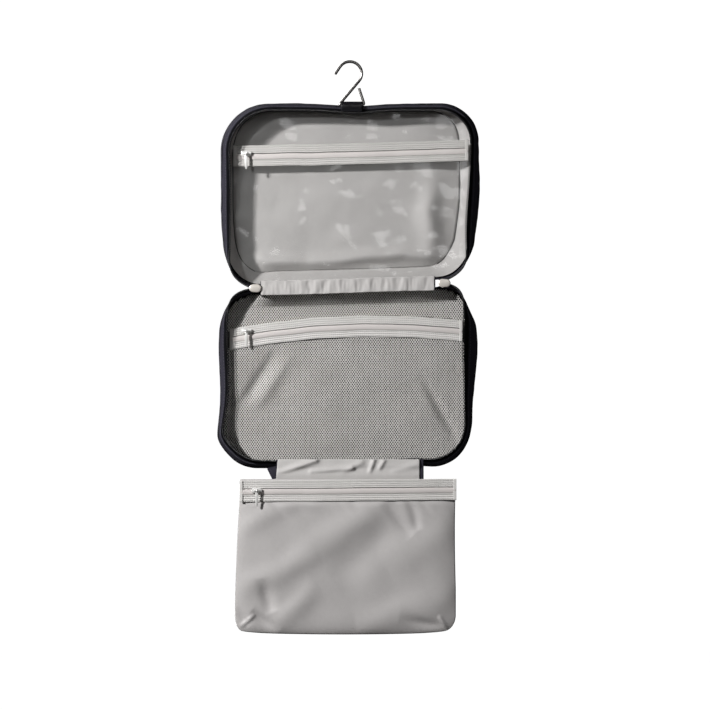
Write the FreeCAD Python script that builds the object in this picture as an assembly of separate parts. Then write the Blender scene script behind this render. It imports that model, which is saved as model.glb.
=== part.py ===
import FreeCAD, Part
import math
import os

# Hanging toiletry bag, opened and hanging: two zipped half shells, a pouch on a flap and a wire hook.
# The origin is the inner crown of the hook, +Z is up and the open side of the bag faces -Y.
#
# Every fabric piece is placed by two distances. Its depth runs backwards (+Y) from the plane in which
# the two rims close. Its reach runs away from the fold between the shells, up for the upper shell
# (side = UP) and down for the front shell and the pouch (side = DOWN).

V = FreeCAD.Vector
UP, DOWN = 1, -1

# Shells
bag_width = 258.0          # across the outer seams
shell_height = 176.7       # seam to seam
shell_depth = 40.0         # rim plane to the outer face of the back
shell_corner = 48.0        # corner radius at the outer seam
seam_depth = 15.0          # depth of the seam between zip tape and gusset
rim_inset = 8.0            # how far the zip tape leans in from the seam
rim_corner = 45.0
fold_gap = 9.0             # between the two gussets at the fold
rim_gap = 2.0              # between the two rims at the fold
fold_depth = -3.6          # the fold's axis lies this far in front of the rim plane
tape_wall = 1.0
gusset_wall = 1.2
panel_thick = 1.6
foam_thick = 4.4
lining_thick = 0.8
gusset_lining_wall = 0.6
binding_width = 1.5
binding_deep = 1.5
coil_wide = 2.0
coil_thick = 1.4
hinge_end_gap = 1.0        # between the strip and each main slider
hinge_reach = 7.2
hinge_layer = 0.7
hinge_slit = 0.5           # from the fold to the edge of each half of the strip

# Pocket zips
sheet_thick = 0.4          # clear film and mesh
zip_tape_high = 10.0
zip_gap = 1.0              # from the middle of the zip to each tape
zip_tape_thick = 0.8
zip_coil_proud = 0.6
sheet_lap = 2.0            # the sheet runs this far behind its zip tape
band_end_gap = 3.0
end_patch = 8.0
patch_thick = 0.5
clear_band_drop = 48.2     # upper seam to the middle of the clear pocket's zip
mesh_band_drop = 40.5      # seam at the fold to the middle of the mesh pocket's zip

# Flap and pouch
flap_half_width = 71.0
flap_backing_extra = 4.0
flap_layer = 0.3
flap_sewn = 4.0            # the flap starts this far inside the rim
flap_fold_out = 4.3        # its fold lies this far outside the rim
flap_root_depth = -2.2
flap_free_depth = -3.6
flap_fold_depth = -3.05
flap_slit = 0.35
flap_straight = 12.5       # from the fold to where the flap leans out to the pouch
flap_lean = 7.0
flap_lap = 9.0             # sewn length on the back of the pouch
pouch_drop = 19.8          # rim to the pouch's upper edge
pouch_side_clearance = 12.5
pouch_end_clearance = 8.0  # from the fold to the folded pouch's lower edge
pouch_wall = 0.8
pouch_back_depth = -5.9
pouch_inside = 5.2
pouch_top_corner = 8.0
pouch_bottom_corner = 20.0

# Sliders and pullers
slider_long = 12.0
slider_high = 7.6
slider_plate = 1.4
slider_clearance = 0.3
bail_reach = 2.1           # slider plate to the pin that holds the puller
bail_pin_r = 0.6
bail_half = 2.45
ear_thick = 0.7
ear_high = 1.8
eye_bore_r = 0.9
eye_outer_r = 1.7
eye_wide = 2.4
puller_long = 17.0
puller_wide = 3.6
puller_thick = 1.0
puller_neck = 2.6          # pin to the start of the wide part
slot_wide = 1.4
slot_long = 7.0
main_slider_inset = 28.0   # from the rim's side to the middle of the slider
main_slider_high = 8.0
main_slider_thick = 3.0
coil_clearance = 1.5       # main slider to the first tooth of the coil

# Hook and its loop
wire_d = 2.8
crown_r = 12.0             # centre line of the crown
hook_reach = 41.7          # origin down to the bar
hook_tip_angle = 146.0
hook_leave_angle = -40.0
hook_tip_straight = 9.0
bar_left = -10.5
bar_right = 14.5
leg_end = (9.2, -25.5)
wire_bend_gap = 0.1        # inside radius of the wire's sharp bends
hook_depth = 27.5          # the hook hangs this far behind the rim plane, over the bag's balance
loop_over_seam = 0.1       # the loop clears the top of the shell
loop_wide = 17.0
loop_middle = 2.8
loop_thick = 0.8
loop_clearance = 0.5       # between the wire and the loop round it

# Derived places
rim_y = -hook_depth
wire_bend_r = wire_d / 2 + wire_bend_gap
loop_bore_r = wire_d / 2 + loop_clearance
bar_over_seam = loop_bore_r + loop_thick + loop_over_seam
fold_z = -hook_reach - bar_over_seam - shell_height - fold_gap / 2
seam_near = fold_gap / 2
seam_far = seam_near + shell_height
rim_near = rim_gap / 2
rim_far = seam_far - rim_inset
seam_half = bag_width / 2
rim_half = seam_half - rim_inset
panel_front = shell_depth - panel_thick
foam_front = panel_front - foam_thick
lining_front = foam_front - lining_thick
flap_fold = rim_far + flap_fold_out
pouch_near = rim_far + pouch_drop
pouch_far = 2 * flap_fold - pouch_end_clearance
pouch_half = rim_half - coil_wide - pouch_side_clearance
pouch_mouth_depth = pouch_back_depth - pouch_wall - pouch_inside
main_slider_x = rim_half - main_slider_inset
hinge_half_width = main_slider_x - slider_long / 2 - hinge_end_gap
coil_start_x = main_slider_x + slider_long / 2 + coil_clearance
tape_start_x = main_slider_x - slider_long / 2 + slider_clearance + coil_clearance


def place(reach, side):
    return fold_z + side * reach


def save(shape, node):
    solids = shape.Solids
    if not solids or not all(s.isValid() and s.Volume > 0 for s in solids):
        raise ValueError("bad solid: " + node)
    shape.exportStep("parts/" + node + ".step")


def box(x0, x1, depth0, depth1, reach0, reach1, side):
    low, high = sorted((place(reach0, side), place(reach1, side)))
    return Part.makeBox(x1 - x0, depth1 - depth0, high - low, V(x0, rim_y + depth0, low))


def corner(centre_x, centre_z, radius, start, y):
    """Quarter arc, counter-clockwise from the angle start."""
    points = []
    for angle in (start, start + 45, start + 90):
        a = math.radians(angle)
        points.append(V(centre_x + radius * math.cos(a), y, centre_z + radius * math.sin(a)))
    return Part.Arc(*points).toShape()


def outline(half, near, far, near_r, far_r, depth, side):
    """Rectangle with round corners, in the plane of the given depth."""
    y = rim_y + depth
    low, high = sorted((place(near, side), place(far, side)))
    low_r, high_r = (near_r, far_r) if side == UP else (far_r, near_r)
    edges = [
        corner(half - high_r, high - high_r, high_r, 0, y),
        corner(high_r - half, high - high_r, high_r, 90, y),
        corner(low_r - half, low + low_r, low_r, 180, y),
        corner(half - low_r, low + low_r, low_r, 270, y),
    ]
    closed = []
    for edge, following in zip(edges, edges[1:] + edges[:1]):
        end, start = edge.Vertexes[-1].Point, following.Vertexes[0].Point
        closed += [edge, Part.LineSegment(end, start).toShape()]
    return Part.Wire(closed)


def slab(wire, thickness):
    return Part.Face(wire).extrude(V(0, thickness, 0))


def seam_outline(inset, depth, side):
    r = shell_corner - inset
    return outline(seam_half - inset, seam_near + inset, seam_far - inset, r, r, depth, side)


def rim_outline(inset, depth, side):
    r = rim_corner - inset
    return outline(rim_half - inset, rim_near + inset, rim_far - inset, r, r, depth, side)


def seam_slab(inset, depth0, depth1, side):
    return slab(seam_outline(inset, depth0, side), depth1 - depth0)


def seam_ring(inset, wall, depth0, depth1, side):
    return seam_slab(inset, depth0, depth1, side).cut(seam_slab(inset + wall, depth0, depth1, side))


def open_at_fold(shape, half_gap, side):
    """The shape without its stretch along the fold, from -half_gap to half_gap."""
    return shape.cut(box(-half_gap, half_gap, -coil_thick - 1, seam_depth + 1, 0, rim_corner, side))


def make_shell(name, side):
    """Back, gusset, linings, zip tape and coil of one half shell, with its half of the hinge strip."""
    save(seam_slab(0, panel_front, shell_depth, side), name + "_outer_panel")
    save(seam_slab(gusset_wall, foam_front, panel_front, side), name + "_foam")
    save(seam_slab(gusset_wall, lining_front, foam_front, side), name + "_back_lining")

    gusset = seam_ring(0, gusset_wall, seam_depth, panel_front, side)
    spine = box(-hinge_half_width, hinge_half_width, 0, seam_depth, seam_near, seam_near + gusset_wall, side)
    save(gusset.fuse(spine).removeSplitter(), name + "_gusset")

    binding_front = seam_depth + sheet_thick
    binding_back = binding_front + binding_deep
    save(seam_ring(gusset_wall, binding_width, binding_front, binding_back, side), name + "_seam_binding")
    save(
        seam_ring(gusset_wall, gusset_lining_wall, binding_back, lining_front, side),
        name + "_gusset_lining",
    )

    outer = Part.makeLoft([rim_outline(0, 0, side), seam_outline(0, seam_depth, side)], True, True)
    inner = Part.makeLoft(
        [rim_outline(tape_wall, 0, side), seam_outline(tape_wall, seam_depth, side)], True, True
    )
    save(open_at_fold(outer.cut(inner), tape_start_x, side), name + "_zip_tape")

    coil = slab(rim_outline(0, -coil_thick, side), coil_thick)
    coil = coil.cut(slab(rim_outline(coil_wide, -coil_thick, side), coil_thick))
    save(open_at_fold(coil, coil_start_x, side), name + "_zip_coil")

    w = hinge_half_width
    save(box(-w, w, -hinge_layer, 0, hinge_slit, hinge_reach, side), name + "_hinge_fabric")
    save(
        box(-w, w, -2 * hinge_layer, -hinge_layer, hinge_slit, hinge_reach, side), name + "_hinge_lining"
    )


def make_band(name, side, centre, half, back, trim):
    """Zip band of a pocket: two tapes, the coil between them and a patch over each end."""
    front = back - zip_tape_thick
    edge = zip_gap + zip_tape_high
    for place_name, low, high in (("far", zip_gap, edge), ("near", -edge, -zip_gap)):
        tape = box(-half, half, front, back, centre + low, centre + high, side)
        save(tape.common(trim), name + "_zip_tape_" + place_name)
    coil_half = half - end_patch
    save(
        box(-coil_half, coil_half, front - zip_coil_proud, back, centre - zip_gap, centre + zip_gap, side),
        name + "_coil",
    )
    patches = []
    for x0 in (-half, coil_half):
        patch = box(x0, x0 + end_patch, front - patch_thick, front, centre - edge, centre + edge, side)
        patches.append(patch.common(trim))
    save(Part.makeCompound(patches), name + "_zip_ends")


def make_pocket(name, side, centre):
    """Sheet above and below the zip band of a shell's pocket."""
    sheet = seam_slab(gusset_wall, seam_depth, seam_depth + sheet_thick, side)
    edge = zip_gap + zip_tape_high - sheet_lap
    far = box(-seam_half, seam_half, seam_depth, seam_depth + sheet_thick, centre + edge, seam_far, side)
    near = box(-seam_half, seam_half, seam_depth, seam_depth + sheet_thick, seam_near, centre - edge, side)
    save(sheet.common(far), name + "_sheet_far")
    save(sheet.common(near), name + "_sheet_near")
    half = rim_half - band_end_gap
    room = seam_slab(gusset_wall, 0, seam_depth, side)
    make_band(name, side, centre, half, seam_depth, room)
    return half


def bail():
    """Two ears and the pin of the puller, in front of a plate whose front lies at y = 0."""
    parts = Part.makeCylinder(bail_pin_r, 2 * bail_half, V(-bail_half, -bail_reach, 0), V(1, 0, 0))
    ear_reach = bail_reach + bail_pin_r
    for x0 in (-bail_half, bail_half - ear_thick):
        parts = parts.fuse(Part.makeBox(ear_thick, ear_reach, ear_high, V(x0, -ear_reach, -ear_high / 2)))
    return parts


def slider():
    """Pocket slider, its plate's front at y = 0, narrower where the two tapes part."""
    half, high = slider_long / 2, slider_high / 2
    points = [(-half, high * 0.7), (-half * 0.4, high), (half, high * 0.8)]
    points += [(x, -z) for x, z in reversed(points)]
    wire = Part.makePolygon([V(x, 0, z) for x, z in points + points[:1]])
    return Part.Face(wire).extrude(V(0, slider_plate, 0)).fuse(bail())


def puller():
    """Puller hanging from a pin at the origin that runs along X: an eye and a slotted tab."""
    eye = Part.makeCylinder(eye_outer_r, eye_wide, V(-eye_wide / 2, 0, 0), V(1, 0, 0))
    eye = eye.cut(Part.makeCylinder(eye_bore_r, eye_wide, V(-eye_wide / 2, 0, 0), V(1, 0, 0)))
    top = (eye_bore_r + eye_outer_r) / 2
    front = -puller_thick / 2
    neck_low = -puller_neck - 1
    neck = Part.makeBox(eye_wide, puller_thick, -top - neck_low, V(-eye_wide / 2, front, neck_low))
    tab_long = puller_long - puller_neck
    tab = Part.makeBox(puller_wide, puller_thick, tab_long, V(-puller_wide / 2, front, -puller_long))
    slot_low = -puller_long + (tab_long - slot_long) / 2
    slot = Part.makeBox(slot_wide, puller_thick, slot_long, V(-slot_wide / 2, front, slot_low))
    return eye.fuse(neck).fuse(tab.cut(slot)).removeSplitter()


def moved(shape, x, depth, z):
    copy = shape.copy()
    copy.translate(V(x, rim_y + depth, z))
    return copy


def make_pocket_slider(name, side, centre, half, back):
    """Slider at the left end of its zip, with its puller hanging."""
    x = -(half - end_patch - slider_long / 2)
    plate_front = back - zip_tape_thick - zip_coil_proud - slider_clearance - slider_plate
    z = place(centre, side)
    save(moved(slider(), x, plate_front, z), name + "_slider")
    save(moved(puller(), x, plate_front - bail_reach, z), name + "_puller")


def make_main_slider(name, sign):
    """Slider at one end of the hinge, with its puller pointing back between the shells."""
    half, high, thick = slider_long / 2, main_slider_high, main_slider_thick
    body = Part.makeBox(slider_long, thick, high, V(-half, -thick / 2, -high / 2))
    back_bail = bail()
    back_bail.rotate(V(0, 0, 0), V(0, 0, 1), 180)
    back_bail.rotate(V(0, 0, 0), V(0, 1, 0), 90)
    back_bail.translate(V(0, thick / 2, 0))
    tab = puller()
    tab.rotate(V(0, 0, 0), V(1, 0, 0), 90)
    tab.rotate(V(0, 0, 0), V(0, 1, 0), 90)
    save(moved(body.fuse(back_bail), sign * main_slider_x, fold_depth, fold_z), "main_slider_" + name)
    save(
        moved(tab, sign * main_slider_x, fold_depth + thick / 2 + bail_reach, fold_z),
        "main_puller_" + name,
    )


def make_flap():
    """Flap from the front shell's far rim to the pouch, each layer in two halves that meet at its fold."""
    inside = rim_far - flap_sewn
    layers = (("flap_lining", 0, flap_half_width), ("flap_backing", 1, flap_half_width + flap_backing_extra))
    for name, layer, w in layers:
        root = flap_root_depth + layer * flap_layer
        save(box(-w, w, root, root + flap_layer, inside, flap_fold - flap_slit, DOWN), name + "_root")
        front = flap_free_depth + layer * flap_layer
        lap = pouch_back_depth + layer * flap_layer
        start = flap_fold + flap_slit
        lean = flap_fold + flap_straight
        landed = lean + flap_lean
        path = [(front, start), (front, lean), (lap, landed), (lap, landed + flap_lap)]
        path += [(depth + flap_layer, reach) for depth, reach in reversed(path)]
        points = [V(-w, rim_y + depth, place(reach, DOWN)) for depth, reach in path + path[:1]]
        save(Part.Face(Part.makePolygon(points)).extrude(V(2 * w, 0, 0)), name + "_free")


def pouch_slab(inset, depth0, depth1):
    wire = outline(
        pouch_half - inset,
        pouch_near + inset,
        pouch_far - inset,
        pouch_top_corner - inset,
        pouch_bottom_corner - inset,
        depth0,
        DOWN,
    )
    return slab(wire, depth1 - depth0)


def make_pouch():
    """Flat pouch: a back with low side walls, a front panel and the zip band along its upper edge."""
    tray = pouch_slab(0, pouch_mouth_depth, pouch_back_depth)
    hollow = pouch_slab(pouch_wall, pouch_mouth_depth, pouch_back_depth - pouch_wall)
    save(tray.cut(hollow), "pouch_back")
    front = pouch_mouth_depth - pouch_wall
    band_low = pouch_near + 2 * (zip_gap + zip_tape_high)
    room = pouch_slab(0, front - patch_thick, pouch_mouth_depth)
    panel = box(-pouch_half, pouch_half, front, pouch_mouth_depth, band_low, pouch_far, DOWN)
    save(panel.common(room), "pouch_front")
    centre = pouch_near + zip_gap + zip_tape_high
    make_band("pouch", DOWN, centre, pouch_half, pouch_mouth_depth, room)
    make_pocket_slider("pouch", DOWN, centre, pouch_half, pouch_mouth_depth)


def wire_along(points, bend_r):
    """Round wire along straight runs joined by tangent arcs."""
    edges = []
    start = points[0]
    for before, at, after in zip(points, points[1:], points[2:]):
        arriving = (at - before).normalize()
        leaving = (after - at).normalize()
        turn = arriving.getAngle(leaving)
        cut = bend_r * math.tan(turn / 2)
        first, last = at - arriving * cut, at + leaving * cut
        bisector = (leaving - arriving).normalize()
        middle = at + bisector * (bend_r / math.cos(turn / 2) - bend_r)
        edges += [Part.LineSegment(start, first).toShape(), Part.Arc(first, middle, last).toShape()]
        start = last
    edges.append(Part.LineSegment(start, points[-1]).toShape())
    return edges


def make_hook():
    """One bent wire: straight tip, round crown, diagonal, bar and a short leg that stays open."""
    centre = V(0, 0, wire_d / 2 - crown_r)

    def on_crown(angle):
        a = math.radians(angle)
        return centre + V(math.cos(a), 0, math.sin(a)) * crown_r

    def heading(angle):
        a = math.radians(angle)
        return V(math.sin(a), 0, -math.cos(a))

    crown_start, crown_end = on_crown(hook_tip_angle), on_crown(hook_leave_angle)
    tip = crown_start - heading(hook_tip_angle) * hook_tip_straight
    crown = Part.Arc(crown_start, on_crown((hook_tip_angle + hook_leave_angle) / 2), crown_end).toShape()
    bar_ends = [V(x, 0, -hook_reach) for x in (bar_left, bar_right)]
    corners = [crown_end] + bar_ends + [V(leg_end[0], 0, leg_end[1])]
    edges = [Part.LineSegment(tip, crown_start).toShape(), crown] + wire_along(corners, wire_bend_r)
    path = Part.Wire(edges)
    section = Part.Wire(Part.makeCircle(wire_d / 2, tip, heading(hook_tip_angle)))
    save(path.makePipeShell([section], True, True), "hanger_hook")


def make_hook_loop():
    """Webbing loop round the hook's bar, run over the top and down the front of the rim to the coil."""
    x0 = loop_middle - loop_wide / 2
    bar = V(x0, 0, -hook_reach)
    bore = Part.makeCylinder(loop_bore_r, loop_wide, bar, V(1, 0, 0))
    ring = Part.makeCylinder(loop_bore_r + loop_thick, loop_wide, bar, V(1, 0, 0))
    seam_z, rim_z = place(seam_far, UP), place(rim_far, UP)
    under = [
        (0, seam_z),
        (rim_y + seam_depth, seam_z),
        (rim_y, rim_z),
        (rim_y - coil_thick, rim_z),
        (rim_y - coil_thick, rim_z - coil_wide),
    ]
    over = [
        (rim_y - coil_thick - loop_thick, rim_z - coil_wide),
        (rim_y - coil_thick - loop_thick, rim_z + loop_thick),
        (rim_y, rim_z + loop_thick),
        (rim_y + seam_depth, seam_z + loop_thick),
        (0, seam_z + loop_thick),
    ]
    points = [V(x0, y, z) for y, z in under + over + under[:1]]
    strip = Part.Face(Part.makePolygon(points)).extrude(V(loop_wide, 0, 0))
    save(ring.fuse(strip).cut(bore).removeSplitter(), "hook_loop")


os.makedirs("parts", exist_ok=True)
make_hook()
make_hook_loop()
make_shell("upper", UP)
make_shell("front", DOWN)
for pocket, pocket_side, pocket_centre in (
    ("clear", UP, seam_far - clear_band_drop),
    ("mesh", DOWN, seam_near + mesh_band_drop),
):
    band_half = make_pocket(pocket, pocket_side, pocket_centre)
    make_pocket_slider(pocket, pocket_side, pocket_centre, band_half, seam_depth)
make_flap()
make_pouch()
make_main_slider("left", -1)
make_main_slider("right", 1)
print("fold", rim_y + fold_depth, fold_z)
print("flap fold", rim_y + flap_fold_depth, place(flap_fold, DOWN))
print("pouch", pouch_half, place(pouch_near, DOWN), place(pouch_far, DOWN))
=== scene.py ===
import bpy
import math
from mathutils import Matrix, Vector, noise


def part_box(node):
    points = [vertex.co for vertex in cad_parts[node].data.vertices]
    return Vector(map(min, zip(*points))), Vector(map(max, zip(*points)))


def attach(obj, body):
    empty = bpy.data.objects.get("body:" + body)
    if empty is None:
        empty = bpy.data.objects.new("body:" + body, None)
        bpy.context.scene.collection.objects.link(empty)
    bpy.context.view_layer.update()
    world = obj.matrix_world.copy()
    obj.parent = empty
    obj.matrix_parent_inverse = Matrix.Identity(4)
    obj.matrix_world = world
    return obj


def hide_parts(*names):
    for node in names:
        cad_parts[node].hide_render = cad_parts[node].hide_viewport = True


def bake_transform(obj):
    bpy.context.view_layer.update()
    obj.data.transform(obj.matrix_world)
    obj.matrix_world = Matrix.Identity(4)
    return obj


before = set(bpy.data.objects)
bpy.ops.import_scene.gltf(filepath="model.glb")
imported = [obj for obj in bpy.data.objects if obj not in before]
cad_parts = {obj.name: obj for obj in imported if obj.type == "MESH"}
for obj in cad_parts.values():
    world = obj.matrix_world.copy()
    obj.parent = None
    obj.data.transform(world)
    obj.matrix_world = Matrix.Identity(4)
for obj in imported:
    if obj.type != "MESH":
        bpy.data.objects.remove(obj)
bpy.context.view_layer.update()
bpy.ops.object.select_all(action="DESELECT")

# The setting: a white domed room with a flat floor round the hanging bag, and a camera square in front
# of it with a long lens. A small lamp from the left throws the shadows, a soft box and a faint world
# fill them, and a wide box lights the back.
MM = 0.001
RIM_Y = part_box("upper_zip_tape")[0].y
FOLD_Z = (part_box("upper_hinge_fabric")[0].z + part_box("front_hinge_fabric")[1].z) / 2
VIEW_WIDTH = 0.710
VIEW_CENTRE = (0.0052, -0.2950)
LENS, SENSOR = 135, 36
ROOM_RADIUS, FLOOR_Z = 5, -1.1
LAMP_AIM = (0, RIM_Y, -0.28)
WHITE = (1, 1, 1, 1)


def add_object(name, data):
    made = bpy.data.objects.new(name, data)
    bpy.context.scene.collection.objects.link(made)
    return made


camera_data = bpy.data.cameras.new("camera")
camera_data.lens = LENS
camera_data.sensor_width = SENSOR
camera = add_object("camera", camera_data)
camera.location = (VIEW_CENTRE[0], RIM_Y - VIEW_WIDTH * LENS / SENSOR, VIEW_CENTRE[1])
camera.rotation_euler = (math.pi / 2, 0, 0)
bpy.context.scene.camera = camera
bpy.context.scene.view_settings.view_transform = "Standard"


def plain_material(name, colour, roughness=0.6, metallic=0.0, emission=0.0):
    material = bpy.data.materials.new(name)
    material.use_nodes = True
    shader = material.node_tree.nodes["Principled BSDF"]
    shader.inputs["Base Color"].default_value = (*colour, 1)
    shader.inputs["Roughness"].default_value = roughness
    shader.inputs["Metallic"].default_value = metallic
    if emission:
        shader.inputs["Emission Color"].default_value = (*colour, 1)
        shader.inputs["Emission Strength"].default_value = emission
    return material


bpy.ops.mesh.primitive_uv_sphere_add(segments=48, ring_count=24, radius=ROOM_RADIUS)
room = bpy.context.object
room.name = "white_room"
for vertex in room.data.vertices:
    vertex.co.z = max(vertex.co.z, FLOOR_Z)
bpy.ops.object.shade_smooth()
room_white = plain_material("room_white", (0.8, 0.8, 0.8), 0.9, emission=0.95)
room_white.node_tree.nodes["Principled BSDF"].inputs["Emission Color"].default_value = WHITE
room.data.materials.append(room_white)
room.visible_diffuse = False
room.visible_glossy = False
room.visible_shadow = False

world = bpy.data.worlds.new("surround")
world.use_nodes = True
world.node_tree.nodes["Background"].inputs["Color"].default_value = WHITE
world.node_tree.nodes["Background"].inputs["Strength"].default_value = 0.055
bpy.context.scene.world = world
for name, shape, size, watts, place in (
    ("key_lamp", "DISK", (0.10, 0.10), 34, (-1.06, -0.86, 0.25)),
    ("soft_box", "RECTANGLE", (0.40, 1.2), 5, (0.42, -2.3, 0.55)),
    ("back_box", "RECTANGLE", (1.4, 1.6), 60, (-1.0, 2.2, 0.6)),
):
    lamp_data = bpy.data.lights.new(name, "AREA")
    lamp_data.shape = shape
    lamp_data.size = size[0]
    if shape == "RECTANGLE":
        lamp_data.size_y = size[1]
    lamp_data.energy = watts
    lamp = add_object(name, lamp_data)
    lamp.location = place
    lamp.rotation_euler = (Vector(LAMP_AIM) - lamp.location).to_track_quat("-Z", "Y").to_euler()


# Wire hanger hook: one length of plated steel wire, bent to a crown, a long diagonal, the bar that the
# webbing loop turns on, and a short leg back up that stays open.
def add_node(tree, kind, values=None):
    """Adds a shader node and sets the given values on its inputs."""
    node = tree.nodes.new(kind)
    for key, value in (values or {}).items():
        node.inputs[key].default_value = value
    return node


def link(start, output, end, entry):
    start.id_data.links.new(start.outputs[output], end.inputs[entry])


def chrome_material(name, colour, roughness, scratch):
    material = plain_material(name, colour, roughness, 1.0)
    tree = material.node_tree
    coords = add_node(tree, "ShaderNodeTexCoord")
    grain = add_node(tree, "ShaderNodeTexNoise", {"Scale": 900, "Detail": 3})
    spread = add_node(tree, "ShaderNodeMapRange", {"To Min": roughness * 0.7, "To Max": roughness * 1.5})
    bump = add_node(tree, "ShaderNodeBump", {"Strength": scratch, "Distance": 0.00005})
    shader = tree.nodes["Principled BSDF"]
    link(coords, "Object", grain, "Vector")
    link(grain, "Fac", spread, "Value")
    link(spread, "Result", shader, "Roughness")
    link(grain, "Fac", bump, "Height")
    link(bump, "Normal", shader, "Normal")
    return material


def tube(name, points, radius, sides=12, closed=False):
    """Round tube along a smooth line through the control points, in mm, as a mesh with closed ends."""
    data = bpy.data.curves.new(name, "CURVE")
    data.dimensions = "3D"
    spline = data.splines.new("NURBS")
    spline.points.add(len(points) - 1)
    for point, at in zip(spline.points, points):
        point.co = (at[0] * MM, at[1] * MM, at[2] * MM, 1)
    spline.order_u = 3
    spline.use_endpoint_u = not closed
    spline.use_cyclic_u = closed
    spline.resolution_u = 6
    data.bevel_depth = radius * MM
    data.bevel_resolution = max(1, sides // 4 - 1)
    data.use_fill_caps = True
    curve = add_object(name + "_line", data)
    bpy.context.view_layer.update()
    mesh = bpy.data.meshes.new_from_object(curve)
    bpy.data.objects.remove(curve)
    mesh.name = name
    piece = add_object(name, mesh)
    for polygon in mesh.polygons:
        polygon.use_smooth = True
    return piece


WIRE_R = 1.4
CROWN_R = 12.0
TIP_ANGLE, LEAVE_ANGLE = 146, -40
hook_low, hook_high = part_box("hanger_hook")
BAR_Z = hook_low.z / MM + WIRE_R
crown_z = hook_high.z / MM - WIRE_R - CROWN_R
hook_points = []
for degrees in range(TIP_ANGLE, LEAVE_ANGLE - 1, -12):
    a = math.radians(degrees)
    stretch = CROWN_R / math.cos(math.radians(6)) if LEAVE_ANGLE < degrees < TIP_ANGLE else CROWN_R
    hook_points.append((stretch * math.cos(a), 0, crown_z + stretch * math.sin(a)))
first = Vector(hook_points[0])
heading = Vector((math.sin(math.radians(TIP_ANGLE)), 0, -math.cos(math.radians(TIP_ANGLE))))
tip = [tuple(first - heading * step) for step in (9.0, 6.0, 3.0)]
bar_left, bar_right = -10.5, 14.5
last = Vector(hook_points[-1])
corner = Vector((bar_left, 0, BAR_Z))
diagonal = [tuple(last.lerp(corner, f)) for f in (0.3, 0.6, 0.85, 0.95, 0.98)]
bar = [(bar_left + 0.8, 0, BAR_Z), (bar_left + 3, 0, BAR_Z), (2, 0, BAR_Z)]
bar += [(bar_right - 2.5, 0, BAR_Z), (bar_right - 0.7, 0, BAR_Z)]
foot = Vector((bar_right, 0, BAR_Z))
leg_end = Vector((9.2, 0, -25.5))
leg = [tuple(foot.lerp(leg_end, f)) for f in (0.05, 0.16, 0.5, 0.8, 1.0)]
hook = tube("hook_wire", tip + hook_points + diagonal + bar + leg, WIRE_R + 0.1, sides=20)
hook.data.materials.append(chrome_material("hook_chrome", (0.30, 0.29, 0.28), 0.24, 0.2))
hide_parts("hanger_hook")
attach(hook, "hook")


# The two half shells: rounded trays of navy cloth, a little uneven where the bag hangs from its hook
# and where the zips end. Every cloth piece is laid out on a grid that follows the tray's outline.
FOLD_Y = RIM_Y - 3.6 * MM
SHELLS = {
    "upper": {
        "side": 1, "half": 129.4, "near": 3.6, "far": 183.6, "corners": (38, 38, 48, 40),
        "slack": ((-6.5, 0.170, 0.050), (1.2, 0.25, 0.03), (-2.6, 0.5, 0.035), (-2.6, 0.815, 0.030),
                  (1.5, 0.885, 0.02)),
        "lean": ((4.6, 0.240, 0.045), (-3.6, 0.165, 0.035), (1.8, 0.745, 0.06), (-3.6, 0.835, 0.035)),
    },
    "front": {
        "side": -1, "half": 129.6, "near": 3.6, "far": 182.6, "corners": (38, 50, 36, 38),
        "slack": ((-5.5, 0.172, 0.030), (-7.0, 0.300, 0.055), (-2.0, 0.41, 0.02), (3.4, 0.694, 0.024),
                  (2.2, 0.780, 0.030), (1.6, 0.845, 0.02)),
        "lean": ((7.0, 0.225, 0.042), (-3.0, 0.150, 0.030), (-1.6, 0.340, 0.03), (1.5, 0.770, 0.04),
                 (-1.6, 0.690, 0.03), (-3.0, 0.850, 0.035)),
    },
}
SHARES = (81, 75, 81, 75, 162, 75, 81, 75, 81)
RIM_WIDE = 7.0             # the zip tape leans in this far from the seam
SEAM_DEPTH = 15.0
TAPE_START = 0.108         # fraction of the way round where the zip tape starts
MIDDLE_REACH = 92.5        # middle of a shell, from the fold
NEAR_LEAN = 1.6            # the two shells' near sides lean apart towards the back by this much each


def bumps(values, u):
    return sum(size * math.exp(-(((u - at) / wide) ** 2)) for size, at, wide in values)


def box_outline(shell, u, amount, near_amount):
    """Point of a shell's rounded outline, u of the way round from the middle of the fold."""
    values = SHELLS[shell]
    half, near, far = values["half"] - amount, values["near"] + near_amount, values["far"] - amount
    near_r, far_r, far_l, near_l = (max(r - 0.55 * amount, 8) for r in values["corners"])
    left = (u % 1) * sum(SHARES)
    part = 0
    while part < 8 and left > SHARES[part]:
        left -= SHARES[part]
        part += 1
    f = left / SHARES[part]
    arcs = {
        1: (half - near_r, near + near_r, near_r, -90),
        3: (half - far_r, far - far_r, far_r, 0),
        5: (far_l - half, far - far_l, far_l, 90),
        7: (near_l - half, near + near_l, near_l, 180),
    }
    if part in arcs:
        x, reach, r, start = arcs[part]
        a = math.radians(start + 90 * f)
        return x + r * math.cos(a), reach + r * math.sin(a)
    lines = {
        0: ((0, near), (half - near_r, near)),
        2: ((half, near + near_r), (half, far - far_r)),
        4: ((half - far_r, far), (far_l - half, far)),
        6: ((-half, far - far_l), (-half, near + near_l)),
        8: ((near_l - half, near), (0, near)),
    }
    (x0, r0), (x1, r1) = lines[part]
    return x0 + (x1 - x0) * f, r0 + (r1 - r0) * f


def around(shell, u, amount, near_amount=None, out=0.0):
    """Outline moved in by amount mm, with the cloth's slack; out moves the point straight outwards."""
    near_in = amount if near_amount is None else near_amount
    x, reach = box_outline(shell, u, amount, near_in)
    x0, r0 = box_outline(shell, u - 0.004, amount, near_in)
    x1, r1 = box_outline(shell, u + 0.004, amount, near_in)
    size = math.hypot(x1 - x0, r1 - r0) or 1
    push = bumps(SHELLS[shell]["slack"], u) + out
    return x + push * (r1 - r0) / size, reach - push * (x1 - x0) / size


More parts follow.
